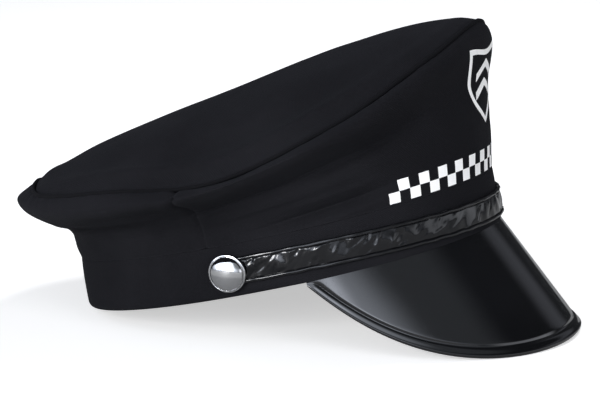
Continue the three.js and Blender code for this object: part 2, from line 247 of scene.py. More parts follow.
crownSizes = {
    "rise": 69,  # from the band's top to the front of the seam
    "reach": 38,  # of the widest line past the band
    "wall": 1.5,
    "foldDepth": 5.6,
    "ridge": 0.34,  # height of the ridges beside a fold, as a share of its depth
    "furrow": 0.45,  # depth of the furrow along its bottom, likewise
    "furrowWidth": 0.34,  # share of the fold's spread
    "gap": 0.3,  # between neighbouring pieces
    "footCover": 0.8,  # share of the gap over the band that the cloth's edge covers
    "edgeShort": 0.7,  # how far the panels' edges stop short of the top seam, under the piping
    "edgeRoll": 0.7,  # how far they turn in there
    "edgeRollReach": 1.6,
    "seamTop": 90.5,  # degrees from the front, of a side seam at the top and at the foot
    "seamFoot": 94,
    "seamGap": 0.02,  # between the panels there
    "seamDip": 1.25,  # depth of the groove along a side seam
    "seamReach": 1.7,  # half its width
    "seamPuff": 0.25,  # how far the cloth stands proud beside it
    "seamPuffAt": 5,
    "seamPuffReach": 3,
    "pucker": 0.11,  # depth of the puckers along the top seam
    "puckerReach": 5,
    "wobble": 0.36,  # of the cloth, over a few centimetres
    "smallWobble": 0.1,
    "stillShare": 0.85,  # how much of the wobble is taken away at the widest line
    "rows": 132,
    "columns": 280,  # of each panel
}

# Sections of the crown wall, angles in degrees from the front. Reaches are shares of the
# crown's reach, rises are shares of its rise
sectionColumns = ["angle", "foot", "tuck", "tuckUp", "shelf", "shelfUp", "belly", "bellyUp", "seam", "seamUp"]
sections = dict(zip(sectionColumns, np.array([
    [0, 0.03, 0.105, 0.225, 0.22, 0.57, 0.345, 0.945, 0.3, 1.005],
    [30, 0.035, 0.115, 0.2, 0.215, 0.51, 0.43, 0.84, 0.385, 0.86],
    [60, 0.045, 0.12, 0.17, 0.355, 0.38, 0.755, 0.565, 0.61, 0.6],
    [85, 0.04, 0.1, 0.15, 0.475, 0.29, 0.98, 0.42, 0.82, 0.45],
    [105, 0.015, 0.06, 0.165, 0.455, 0.29, 0.935, 0.435, 0.845, 0.52],
    [130, -0.045, 0.01, 0.21, 0.36, 0.283, 0.745, 0.475, 0.66, 0.55],
    [155, -0.048, 0.05, 0.22, 0.22, 0.288, 0.555, 0.51, 0.26, 0.6],
    [180, -0.05, 0.08, 0.195, 0.225, 0.275, 0.52, 0.47, 0.14, 0.53],
]).T))

# Folds of the wall. Angles in degrees, the wearer's right below zero, places and spreads in
# shares of the way up, depths in shares of the fold depth. The first six are the main ones
foldColumns = ["start", "stop", "placeStart", "placeStop", "spread", "depth"]
folds = [dict(zip(foldColumns, row)) for row in [
    [-120, -15, 0.38, 0.62, 0.11, 0.74],
    [-92, -32, 0.03, 0.2, 0.052, 0.46],
    [-150, -110, 0.46, 0.2, 0.09, 0.22],
    [20, 115, 0.6, 0.42, 0.11, 0.55],
    [42, 88, 0.18, 0.05, 0.06, 0.3],
    [112, 146, 0.22, 0.42, 0.09, 0.2],
    [-72, -30, 0.42, 0.56, 0.035, 0.16],
    [-104, -78, 0.3, 0.5, 0.04, 0.15],
    [-98, -60, 0.16, 0.3, 0.05, -0.12],
    [-142, -118, 0.14, 0.2, 0.05, 0.12],
    [-172, -128, 0.18, 0.22, 0.06, 0.14],
    [38, 70, 0.52, 0.46, 0.035, 0.14],
    [84, 108, 0.28, 0.5, 0.04, 0.15],
    [130, 176, 0.22, 0.16, 0.06, 0.12],
]]


# Direction square to the band's oval: (cos a / length, sin a / width) at unit length
def ovalNormal(angle):
    x = np.cos(angle) / bandSizes["length"]
    y = np.sin(angle) / bandSizes["width"]
    size = np.hypot(x, y)
    return np.stack([x / size, y / size, 0 * angle], -1)


# Point (length/2 cos a, width/2 sin a, height), moved out along the oval's normal
def ovalPoint(angle, out, height):
    x = bandSizes["length"] / 2 * np.cos(angle)
    y = bandSizes["width"] / 2 * np.sin(angle)
    point = np.stack([x, y, height + 0 * angle], -1)
    return point + (out + 0 * angle)[..., None] * ovalNormal(angle)


def signedDegrees(angle):
    return (np.degrees(angle) + 180) % 360 - 180


def sectionValue(column, angle):
    turned = np.abs(signedDegrees(angle))
    shape = (-1,) + (1,) * turned.ndim
    return smoothCurve(sections["angle"].reshape(shape), sections[column].reshape(shape), turned, True)


# Outside of the band: its foot's oval, leaning out to the crown's foot at the top
def bandPoint(angle, height, out=0):
    lean = crownSizes["reach"] * sectionValue("foot", angle) * height / bandSizes["height"]
    return ovalPoint(angle, lean + out, height)


# The mount's axis gives the tilt, and the CAD band's lowest corner the place
down = next(m for m in frame["record"]["mounts"] if m["name"] == "head_rim")["axis"]
tilt = math.atan2(down[0], -down[2])


def tipped(points):
    x, y, z = np.moveaxis(points, -1, 0)
    back = np.stack([x * math.cos(tilt) - z * math.sin(tilt), y, x * math.sin(tilt) + z * math.cos(tilt)], -1)
    return back / 1000


bandOutline = np.concatenate([
    bandPoint(np.linspace(0, 2 * np.pi, 73), height) for height in (0, bandSizes["height"])])
shift = np.array(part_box("band")[0]) - tipped(bandOutline).min(0)
shift[1] = 0


# From the band's frame in millimetres to the row's frame in metres
def stand(points):
    return tipped(points) + shift


# Camera: back is the direction from the cap to it, rolled a little about the line of sight
cameraFacts = {
    "azimuth": 18,
    "elevation": 11,
    "roll": 0.5,
    "distance": 1.1,
    "target": (0, 0, 0.0542),
    "pixelsPerMetre": 2090,
    "imageWidth": 600,
}


def addCamera():
    a = math.radians(cameraFacts["azimuth"])
    e = math.radians(cameraFacts["elevation"])
    r = math.radians(cameraFacts["roll"])
    back = np.array([math.sin(a) * math.cos(e), -math.cos(a) * math.cos(e), math.sin(e)])
    right = np.array([math.cos(a), math.sin(a), 0])
    up = np.cross(back, right)
    data = bpy.data.cameras.new("camera")
    data.sensor_width = 36
    widthSeen = cameraFacts["imageWidth"] / cameraFacts["pixelsPerMetre"]  # at the target
    data.lens = data.sensor_width * cameraFacts["distance"] / widthSeen
    data.clip_start = 0.05
    camera = bpy.data.objects.new("camera", data)
    show(camera)
    columns = [right * math.cos(r) + up * math.sin(r), up * math.cos(r) - right * math.sin(r), back]
    matrix = np.eye(4)
    matrix[:3, :3] = np.array(columns).T
    matrix[:3, 3] = np.array(cameraFacts["target"]) + back * cameraFacts["distance"]
    camera.matrix_world = Matrix(matrix)
    bpy.context.scene.camera = camera


addCamera()
print("camera placed")


# Materials

class Nodes:
    # A short way to write a node tree: add() makes a node and sets its sockets, by name or,
    # as at0 and so on, by number
    def __init__(self, holder):
        holder.use_nodes = True
        self.tree = holder.node_tree
        self.tree.nodes.clear()

    def add(self, kind, settings=None, **inputs):
        node = self.tree.nodes.new(kind)
        for key, value in (settings or {}).items():
            setattr(node, key, value)
        for key, value in inputs.items():
            socket = node.inputs[int(key[2:]) if key.startswith("at") else key.replace("_", " ")]
            if isinstance(value, bpy.types.NodeSocket):
                self.tree.links.new(value, socket)
            elif value is not None:
                socket.default_value = value
        return node

    def math(self, operation, a, b=0.0, c=0.0):
        return self.add("ShaderNodeMath", {"operation": operation}, at0=a, at1=b, at2=c).outputs[0]

    def times(self, a, b):
        return self.math("MULTIPLY", a, b)

    def mix(self, share, a, b):
        node = self.add("ShaderNodeMix", {"data_type": "RGBA"}, at0=share, at6=a, at7=b)
        return node.outputs[2]

    def ramp(self, value, low, high, toLow=0.0, toHigh=1.0):
        node = self.add("ShaderNodeMapRange", {"interpolation_type": "SMOOTHSTEP"},
                        at0=value, at1=low, at2=high, at3=toLow, at4=toHigh)
        return node.outputs[0]

    def noise(self, place, scale, detail=3.0, roughness=0.5, distortion=0.0):
        node = self.add("ShaderNodeTexNoise", Vector=place, Scale=scale, Detail=detail,
                        Roughness=roughness, Distortion=distortion)
        return node.outputs[0]

    def bump(self, height, distance, strength=1.0, normal=None):
        node = self.add("ShaderNodeBump", Height=height, Distance=distance, Strength=strength, Normal=normal)
        return node.outputs[0]

    def finish(self, colour, normal, roughness, **others):
        shader = self.add("ShaderNodeBsdfPrincipled", Base_Color=colour, Normal=normal,
                          Roughness=roughness, **others)
        self.add("ShaderNodeOutputMaterial", Surface=shader.outputs[0])


def newMaterial(name):
    material = bpy.data.materials.new(name)
    nodes = Nodes(material)
    return material, nodes, nodes.add("ShaderNodeTexCoord").outputs


clothLook = {
    "dark": (0.0062, 0.0062, 0.0076, 1),
    "light": (0.0122, 0.0122, 0.0145, 1),
    "worn": (0.024, 0.024, 0.028, 1),
    "threadPitch": 0.00055,  # of the twill
    "lineDepth": 0.00009,
    "roughness": 0.8,
    "gloss": 0.04,
    "sheen": 0.012,
    "sheenRoughness": 0.45,
    "sheenTint": (0.75, 0.78, 0.9, 1),
}


# Twill: warp and weft are waves of the map's u and v, the diagonal line is a wave of u + v,
# and noise makes the threads uneven
def clothMaterial(name, look, lift=1.0):
    material, n, place = newMaterial(name)
    u, v = n.add("ShaderNodeSeparateXYZ", at0=place["UV"]).outputs[:2]
    perThread = 2 * math.pi / look["threadPitch"]
    uneven = n.noise(place["UV"], 260, 2)
    along = n.math("MULTIPLY_ADD", u, perThread, n.times(uneven, 2.4))
    across = n.math("MULTIPLY_ADD", v, perThread, n.times(uneven, -2.0))
    warp = n.math("SINE", along)
    weft = n.math("SINE", across)
    line = n.math("SINE", n.times(n.math("ADD", along, across), 0.5))
    threads = n.math("MULTIPLY_ADD", n.times(warp, weft), 0.35, n.times(line, 0.65))
    fuzz = n.noise(place["UV"], 5200, 3, 0.65)
    height = n.math("MULTIPLY_ADD", fuzz, 0.9, threads)
    broad = n.ramp(n.noise(place["Object"], 14, 4, 0.55), 0.35, 0.68)
    fine = n.ramp(n.noise(place["UV"], 900, 3, 0.6), 0.3, 0.75)
    share = n.math("MULTIPLY_ADD", fine, 0.45, n.times(broad, 0.55))
    colour = n.mix(share, look["dark"], look["light"])
    ridge = n.add("ShaderNodeNewGeometry").outputs["Pointiness"]
    worn = n.times(n.ramp(ridge, 0.515, 0.58), n.ramp(fuzz, 0.35, 0.7))
    colour = n.mix(n.times(worn, 0.5), colour, look["worn"])
    rough = n.ramp(fine, 0, 1, look["roughness"] - 0.06, look["roughness"] + 0.08)
    n.finish(colour, n.bump(height, look["lineDepth"] * lift, 0.8), rough,
             Specular_IOR_Level=look["gloss"], Sheen_Weight=look["sheen"],
             Sheen_Roughness=look["sheenRoughness"], Sheen_Tint=look["sheenTint"])
    return material


patentLook = {
    "dark": (0.002, 0.0021, 0.0026, 1),
    "light": (0.0042, 0.0044, 0.0054, 1),
    "roughness": 0.07,
    "gloss": 0.5,
    "coat": 0.4,
    "coatRoughness": 0.03,
    "wave": 0.0004,  # height of the slow unevenness in the gloss
    "scratch": 0.000012,
}


# Patent: dark body under a clear gloss, with slow waves, faint dust and hair scratches
def patentMaterial(name, look, grain=0.0):
    material, n, place = newMaterial(name)
    slow = n.noise(place["Object"], 18, 2, 0.4)
    dust = n.noise(place["Object"], 420, 4, 0.7)
    hair = n.add("ShaderNodeMapping", Vector=place["Object"], Scale=(60, 900, 200),
                 Rotation=(0.3, 0.2, 0.5)).outputs[0]
    scratch = n.ramp(n.noise(hair, 4, 2, 0.6, 0.3), 0.66, 0.72)
    normal = n.bump(slow, look["wave"], 1.0)
    normal = n.bump(scratch, look["scratch"], 0.6, normal)
    if grain:
        crease = n.noise(place["Object"], 330, 3, 0.6, 0.6)
        normal = n.bump(crease, grain, 1.0, normal)
    colour = n.mix(n.ramp(slow, 0.35, 0.65), look["dark"], look["light"])
    rough = n.ramp(dust, 0.45, 0.8, look["roughness"], look["roughness"] + 0.1)
    n.finish(colour, normal, rough, Specular_IOR_Level=look["gloss"], Coat_Weight=look["coat"],
             Coat_Roughness=look["coatRoughness"])
    return material


chromeLook = {
    "dark": (0.6, 0.6, 0.61, 1),
    "light": (0.74, 0.74, 0.74, 1),
    "roughness": (0.07, 0.16),
    "dent": 0.00006,
}
printLook = {
    "clean": (0.88, 0.88, 0.88, 1),
    "worn": (0.76, 0.76, 0.77, 1),
    "speck": (0.3, 0.3, 0.31, 1),
    "roughness": (0.5, 0.68),
    "grain": 0.00005,
}


# Plating: bare metal with a faint haze and shallow dents
def chromeMaterial(name, look):
    material, n, place = newMaterial(name)
    haze = n.noise(place["Object"], 900, 3, 0.6)
    dents = n.noise(place["Object"], 160, 2, 0.5)
    n.finish(n.mix(haze, look["dark"], look["light"]), n.bump(dents, look["dent"], 0.5),
             n.ramp(haze, 0.3, 0.8, *look["roughness"]), Metallic=1)
    return material


# Print: matte white, duller in patches, with dark specks where the cloth shows through
def printMaterial(name, look):
    material, n, place = newMaterial(name)
    grain = n.noise(place["Object"], 1900, 3, 0.7)
    patch = n.noise(place["Object"], 240, 3, 0.6)
    colour = n.mix(n.ramp(patch, 0.55, 0.8), look["clean"], look["worn"])
    colour = n.mix(n.ramp(grain, 0.7, 0.76), colour, look["speck"])
    n.finish(colour, n.bump(grain, look["grain"], 0.7), n.ramp(patch, 0.3, 0.7, *look["roughness"]))
    return material


cloth = clothMaterial("black_twill", clothLook)
# The piping is the same black cloth. Its colours, about half the cloth's, are painted shade that stands for
# the shaded groove along the top seam
pipingShadeLook = {
    **clothLook,
    "dark": (0.0034, 0.0034, 0.0041, 1),
    "light": (0.0066, 0.0066, 0.0078, 1),
    "threadPitch": 0.0004,
}
weltShadedCloth = clothMaterial("black_piping_painted_shade", pipingShadeLook, 0.8)
patent = patentMaterial("patent_peak", patentLook)
strapLook = {**patentLook, "roughness": 0.08, "wave": 0.00005, "gloss": 0.34, "coat": 0.2}
strapPatent = patentMaterial("patent_strap", strapLook, 0.00003)
chrome = chromeMaterial("bright_plate", chromeLook)
whitePrint = printMaterial("white_print", printLook)
print("materials made")


# Band

# Section of the band as points [in from the outside, up from the foot]: up the outside,
# over the top and down the inside. Its corners are quarters of ellipses
def bandLoop():
    s = bandSizes
    wall, height, small = s["wall"], s["height"], s["innerCorner"]
    deep, tall = s["footRound"]
    quarter = np.linspace(0, np.pi / 2, 8)
    narrowing, rising = 1 - np.sin(quarter), 1 - np.cos(quarter)
    side = np.linspace(tall, height - small, 26)[1:-1]
    foot = np.stack([deep * narrowing, tall * rising], -1)
    outside = np.stack([0 * side, side], -1)
    top = np.stack([small * rising, height - small * narrowing], -1)
    inside = np.concatenate([small * np.stack([narrowing, rising], -1), [[0, height / 2]], top])
    inside = np.stack([wall - inside[::-1, 0], inside[::-1, 1]], -1)
    return np.concatenate([foot, outside, top, inside])


# Point at (angle, height): the band's outside, moved in by the loop, plus the cloth's swell,
# swell * sin(pi * height share)^0.7, and a slow wobble, on the outside only
def makeBand():
    s = bandSizes
    angle = ringAngles(s["stations"])[:, None]
    inward, height = bandLoop().T
    square = 1 - ease(np.abs(signedDegrees(angle)), *s["squareFoot"])
    rounding = np.where((height < s["footRound"][1]) & (inward < s["wall"] - s["innerCorner"]), inward, 0)
    inward = inward - square * rounding
    outside = ease(s["wall"] / 2 - inward, 0, s["wall"] / 2)
    share = height / s["height"]
    swell = s["swell"] * np.sin(np.pi * share) ** 0.7
    wobble = s["wobble"] * ringNoise(angle, share, (3, 17), (0.2, 0.8), 12, 5) * np.sin(np.pi * share)
    cover = s["cover"] * square * (1 - ease(height, 0, 4))
    out = -inward + outside * (swell + wobble + cover)
    rings = bandPoint(angle + 0 * out, height + 0 * out, out)
    addPiece("band_cloth", carriedSection(rings, True), cloth, ["band"], 60)


makeBand()
print("band made")


# Crown

# Depth of the folds: each is depth * sin^2(pi * way) times a hill of (share - place) / spread,
# less the ridges beside it, with a narrow furrow along its bottom
def foldAt(angle, share):
    s = crownSizes
    turned = signedDegrees(angle)
    total = 0 * turned
    for fold in folds:
        way = np.clip((turned - fold["start"]) / (fold["stop"] - fold["start"]), 0, 1)
        place = fold["placeStart"] + (fold["placeStop"] - fold["placeStart"]) * way
        off = (share - place) / fold["spread"]
        ridges = s["ridge"] * hill(np.abs(off) - 1.8, 0.7)
        hollow = hill(off, 1) - ridges + s["furrow"] * hill(off, s["furrowWidth"])
        total = total + fold["depth"] * np.sin(np.pi * way) ** 2 * hollow
    return total * s["foldDepth"]


# Outside of the wall, share 0 at the band and 1 at the top seam, along the section's length
def wallPoint(angle, share):
    s = crownSizes
    angle, share = np.broadcast_arrays(angle, share)
    names = ["tuck", "shelf", "belly", "seam"]
    out = s["reach"] * np.stack([sectionValue(name, angle) for name in ["foot"] + names])
    up = s["rise"] * np.stack([sectionValue(name + "Up", angle) for name in names])
    up = np.concatenate([0 * up[:1], up])
    steps = np.hypot(np.diff(out, axis=0), np.diff(up, axis=0))
    lengths = np.concatenate([0 * steps[:1], np.cumsum(steps, 0)])
    place = share * lengths[-1]
    reach = smoothCurve(lengths, out, place, False) - foldAt(angle, share)
    height = bandSizes["height"] + s["gap"] + smoothCurve(lengths, up, place, False)
    return ovalPoint(angle, reach, height)


# Uneven puckers of a sewn edge, at a distance from it: noise * exp(-distance / reach)
def puckers(angle, distance, seed):
    s = crownSizes
    waves = ringNoise(angle, distance / 30, (38, 90), (0, 0.3), 10, seed)
    return s["pucker"] * waves * np.exp(-distance / s["puckerReach"])


# Wobble of the wall's cloth over a few centimetres and over a few millimetres. It fades at
# the band and near the widest line, where the cloth is taut
def wallWobble(angle, share):
    s = crownSizes
    broad = s["wobble"] * ringNoise(angle, share, (2, 11), (0.3, 1.4), 14, 11)
    small = s["smallWobble"] * ringNoise(angle, share, (14, 34), (1.5, 4), 16, 12)
    return (broad + small) * ease(share, 0.02, 0.2) * (1 - s["stillShare"] * hill(share - 0.86, 0.08))


# Wall panel from one side seam to the other, round the front or the back: the wall and its
# wobble, with a hill of cloth beside each seam, less a groove along it and the rolled edge
def makeWall(name, isBack, replaced):
    s = crownSizes
    share = np.linspace(0, 1, s["rows"])[:, None]
    across = np.linspace(0, 1, s["columns"])[None, :] + 0 * share
    share = share + 0 * across
    seam = s["seamFoot"] + (s["seamTop"] - s["seamFoot"]) * share
    spare = math.degrees(s["seamGap"] / bandSizes["length"])
    start = (seam if isBack else -seam) + spare
    stop = (360 - seam if isBack else seam) - spare
    angle = np.radians(start + (stop - start) * across)
    bare = wallPoint(angle, share)
    lengthUp = stepLengths(bare, 0).sum(0)
    edge = 1 - s["edgeShort"] / lengthUp[None, :]
    share = share * edge
    bare = wallPoint(angle, share)
    normals = gridNormals(bare, False)
    fromTop = (1 - share) * lengthUp[None, :]
    stepRound = np.linalg.norm(np.gradient(bare, axis=1), axis=-1)
    fromStart = np.cumsum(stepRound, 1)
    fromStop = fromStart[:, -1:] - fromStart
    groove = s["seamDip"] * (hill(fromStart, s["seamReach"]) + hill(fromStop, s["seamReach"]))
    at, reach = s["seamPuffAt"], s["seamPuffReach"]
    puff = s["seamPuff"] * (hill(fromStart - at, reach) + hill(fromStop - at, reach))
    rolled = s["edgeRoll"] * hill(fromTop, s["edgeRollReach"])
    out = wallWobble(angle, share) + puff - groove - rolled + puckers(angle, fromTop, 13)
    outer = bare + out[..., None] * normals
    outer[..., 2] -= s["footCover"] * s["gap"] * (1 - ease(share, 0, 0.03))
    inner = outer - s["wall"] * gridNormals(outer, False)
    skin = skinBetween(outer, inner, False, clothMap(bare))
    addPiece(name, skin, cloth, [replaced])


makeWall("crown_front_cloth", False, "crown_front")
makeWall("crown_back_cloth", True, "crown_back")
print("crown wall made")


# Ornament: a chequered band over the foot of the crown, and a shield with two chevrons at
# the front. Sizes are along the cloth, heights from the foot of the crown's wall
ornament = {
    "lift": 0.05,  # from the cloth to the back of a mark
    "thickness": 0.12,
    "square": 5.4,
    "chequerFoot": 0.7,
    "chequerAngle": 48,  # to each side of the front
    "shieldFoot": 23,
    "shieldWidth": 37,
    "shieldHeight": 36,
    "shieldLine": 2.4,
    "chevronFeet": (35, 43.5),
    "chevronReach": 10.5,
    "chevronRise": 5.5,
    "chevronLine": 3.6,
    "slopeStep": 0.004,  # of the slopes that give the cloth's normal
}


# Thin skin on the cloth from a grid of flat places. The angle comes from the arc along the
# wall's foot, the share of the way up from the length of the wall at that angle, and the
# normal is the slope round the crown x the slope up it
def markOn(across, up, wraps=False):
    s = ornament
    turns = np.radians(np.linspace(-90, 90, 361))
    foot = wallPoint(turns, 0 * turns)
    arc = runningSum(stepLengths(foot, 0))
    shares = np.linspace(0, 1, 31)[:, None]
    wallLength = stepLengths(wallPoint(turns[None, :], shares), 0).sum(0)
    angle = np.interp(across + arc[-1] / 2, arc, turns)
    share = up / np.interp(angle, turns, wallLength)
    step = s["slopeStep"]
    sideways = wallPoint(angle + step, share) - wallPoint(angle - step, share)
    normal = unit(np.cross(sideways, wallPoint(angle, share + step) - wallPoint(angle, share - step)))
    inner = wallPoint(angle, share) + (wallWobble(angle, share) + s["lift"])[..., None] * normal
    flat = np.stack([across, up], -1) / 1000
    if wraps:
        flat = wrapped(flat)
    return skinBetween(inner + s["thickness"] * normal, inner, wraps, flat)


# Two rows of squares, every second one left out
def chequers():
    s = ornament
    side = np.linspace(0, s["square"], 7)
    reach = np.radians(s["chequerAngle"]) * bandSizes["width"] / 2
    count = int(reach // s["square"])
    marks = []
    for row in (0, 1):
        for column in range(-count + row, count, 2):
            across, up = np.meshgrid(column * s["square"] + side, s["chequerFoot"] + row * s["square"] + side)
            marks.append(markOn(across, up))
    return marks


# Outline of the shield, half of it as [across, up] from its tip: the side runs out as
# width * (1 - (1 - way)^1.8) to its shoulder and then straight up; the top dips at the middle
def shieldHalf():
    s = ornament
    half, shoulder = s["shieldWidth"] / 2, s["shieldHeight"] * 0.62
    way = np.linspace(0, 1, 26)
    curve = np.stack([half * (1 - (1 - way) ** 1.8), shoulder * way], -1)
    side = np.stack([half + 0 * way, shoulder + (s["shieldHeight"] - shoulder) * way], -1)
    top = np.stack([half * (1 - way), s["shieldHeight"] - 2.2 * np.sin(np.pi / 2 * way) ** 2], -1)
    return np.concatenate([curve, side[1:], top[1:]])


def shield():
    s = ornament
    half = shieldHalf()
    outline = np.concatenate([half, (half * [-1, 1])[-2:0:-1]])
    middle = np.array([0, s["shieldHeight"] / 2])
    narrow = 1 - s["shieldLine"] * np.array([2 / s["shieldWidth"], 2.3 / s["shieldHeight"]])
    share = np.linspace(0, 1, 4)[:, None, None]
    ring = middle + (outline - middle) * (narrow + (1 - narrow) * share)
    marks = [markOn(ring[..., 0], s["shieldFoot"] + ring[..., 1], True)]
    for foot in s["chevronFeet"]:
        across = np.linspace(-1, 1, 33)[None, :] * s["chevronReach"]
        line = np.linspace(0, s["chevronLine"], 5)[:, None]
        up = foot + s["chevronRise"] * (1 - np.abs(across) / s["chevronReach"]) + line
        marks.append(markOn(across + 0 * up, up))
    return marks


addPiece("chequered_band", joined(chequers()), whitePrint)
addPiece("front_shield", joined(shield()), whitePrint)
print("ornament made")


topSizes = {
    "domeRise": 11,  # of its middle over the plane of the seam
    "domeLean": 0.1,  # share by which the dome is higher in front
    "domeFullness": 4.7,  # more makes it flatter, with a steeper edge
    "domeSettle": 2.6,  # more brings the seam's waves to the plane sooner
    "swell": 1.9,  # height of the padded edge, then its distance from the seam
    "swellAt": 8.5,
    "swellReach": 4,
    "hollow": 0.3,  # depth of the hollow inside it, as a share of its height
    "hollowAt": 20,
    "hollowReach": 7,
    "edgeRoll": 0.8,  # how far the last millimetres go down to the seam
    "edgeRollReach": 1.7,
    "wobble": 0.35,  # of the cloth, over a few centimetres
    "smallWobble": 0.08,
    "wave": 0.5,  # height of the slow waves across the middle
    "columns": 480,
    "rows": 80,
}


# Outside of the top, share 0 at its seam and 1 at its middle: the straight line to the
# middle, brought to the plane of the front and back seam points, with a dome on it,
# domeRise * (1 + domeLean * forward) * (1 - (1 - share)^domeFullness)
def topPoint(angle, share):
    s = topSizes
    front = wallPoint(np.array([0.0]), np.array([1.0]))[0]
    back = wallPoint(np.array([np.pi]), np.array([1.0]))[0]
    middle = (front + back) / 2
    rim = wallPoint(angle, 1 + 0 * share)

    def planeAt(x):
        return back[2] + (front[2] - back[2]) * (x - back[0]) / (front[0] - back[0])

    point = rim + (middle - rim) * share[..., None]
    sag = (rim[..., 2] - planeAt(rim[..., 0])) * (1 - share) ** s["domeSettle"]
    forward = (point[..., 0] - middle[0]) / (front[0] - middle[0])
    dome = s["domeRise"] * (1 + s["domeLean"] * forward) * (1 - (1 - share) ** s["domeFullness"])
    point[..., 2] = planeAt(point[..., 0]) + sag + dome
    return point


# Top panel: the rows crowd towards the seam. The padded edge is a hill less a hollow inside
# it, uneven round the ring and flatter at the front and the back
def makeTop():
    s = topSizes
    angle = ringAngles(s["columns"])[None, :]
    row = np.linspace(0, 1, s["rows"])[:, None]
    angle = angle + 0 * row
    radius = np.linalg.norm(topPoint(angle, 0 * angle) - topPoint(angle, 1 + 0 * angle), axis=-1)
    edge = crownSizes["edgeShort"] / radius
    share = edge + (1 - edge) * row**1.7
    bare = topPoint(angle, share)
    flat = np.stack([bare[..., 0], bare[..., 1]], -1)
    fromSeam = share * radius
    uneven = 1 + 0.45 * ringNoise(angle, share, (2, 9), (0, 0.6), 10, 24)
    fromFront = np.abs(signedDegrees(angle))
    uneven = uneven * (0.3 + 0.7 * ease(fromFront, 15, 60) - 0.6 * ease(fromFront, 115, 160))
    hollow = s["hollow"] * hill(fromSeam - s["hollowAt"], s["hollowReach"])
    swell = s["swell"] * uneven * (hill(fromSeam - s["swellAt"], s["swellReach"]) - hollow)
    rolled = s["edgeRoll"] * hill(fromSeam, s["edgeRollReach"])
    still = 1 - ease(share, 0.6, 1)
    wobble = s["wobble"] * ringNoise(angle, share, (1, 7), (0.2, 1.1), 12, 21) * still
    small = s["smallWobble"] * ringNoise(angle, share, (9, 30), (1, 4), 14, 22) * still
    wave = s["wave"] * np.sin(flat[..., 0] / 21 + 0.6) * np.sin(flat[..., 1] / 27 + 1.1)
    wave = wave * ease(share, 0.15, 0.6)
    out = swell - rolled + wobble + small + wave + puckers(angle, fromSeam, 23)
    normals = gridNormals(bare, True)
    normals[-1] = unit(normals[-2].mean(0))
    outer = bare + out[..., None] * normals
    outer[-1] = outer[-1].mean(0)
    inner = outer - np.array([0, 0, crownSizes["wall"]])
    plan = wrapped(flat) / 1000
    addPiece("crown_top_cloth", skinBetween(outer, inner, True, plan), cloth, ["crown_top"])


makeTop()
print("top made")


weltSizes = {"diameter": 1.9, "uneven": 0.05, "sunk": 0.3, "sides": 16, "stations": 640}


# Piping: a circle of the welt's radius, uneven by a share of it, along the top seam.
# Its axes are the seam's outward direction and the upward one square to the seam
def makeWelt():
    s = weltSizes
    angle = ringAngles(s["stations"])
    line = wallPoint(angle, np.ones_like(angle))
    ahead = unit(np.roll(line, -1, 0) - np.roll(line, 1, 0))
    up = unit(np.cross(ovalNormal(angle), ahead))
    out = np.cross(ahead, up)
    turn = ringAngles(s["sides"])
    uneven = s["uneven"] * ringNoise(angle, 0 * angle, (20, 80), (0, 1), 12, 31)
    radius = s["diameter"] / 2 * (1 + uneven)
    circle = np.cos(turn)[None, :, None] * out[:, None] + np.sin(turn)[None, :, None] * up[:, None]
    inward = s["sunk"] * (out + up) / math.sqrt(2)
    rings = (line - inward)[:, None] + radius[:, None, None] * circle
    addPiece("crown_piping", carriedSection(rings, True), weltShadedCloth, ["crown_welt"])


makeWelt()
print("welt made")


# Peak

peakSizes = {
    "length": 63.3,  # from the band to its edge, along the middle
    "heel": 1.6,  # the same at its ends
    "halfAngle": 71,  # of its reach round the band, to each side
    "fullness": 2.55,  # more makes its outline squarer
    "drop": 65.2,  # degrees below the band's foot, at the middle and at the ends
    "dropAtEnds": 88,
    "curl": 2.2,  # more keeps the middle's drop further round
    "wall": 1.8,
    "rimWidth": 4.9,
    "rimRise": 0.5,
    "rimBead": 0.22,  # height of the bead along its very edge
    "beadAt": 1.1,  # from the edge
    "beadWidth": 0.55,
    "groove": 0.52,  # depth of the furrow inside the rim
    "grooveWidth": 1.15,
    "columns": 260,
    "rows": 40,
    "rimRows": 44,
}


# Length to the rim: heel + (length - heel) * (1 - turn^fullness)
def peakLengthAt(turn):
    s = peakSizes
    return s["heel"] + (s["length"] - s["heel"]) * (1 - np.minimum(turn, 1) ** s["fullness"])


# Straight lines from the band's foot, dropping by drop + (dropAtEnds - drop) * turn^curl
def peakPoint(angle, length):
    s = peakSizes
    turn = np.abs(np.degrees(angle)) / s["halfAngle"]
    drop = np.radians(s["drop"] + (s["dropAtEnds"] - s["drop"]) * turn ** s["curl"])
    return ovalPoint(angle, length * np.cos(drop), -crownSizes["gap"] - length * np.sin(drop))


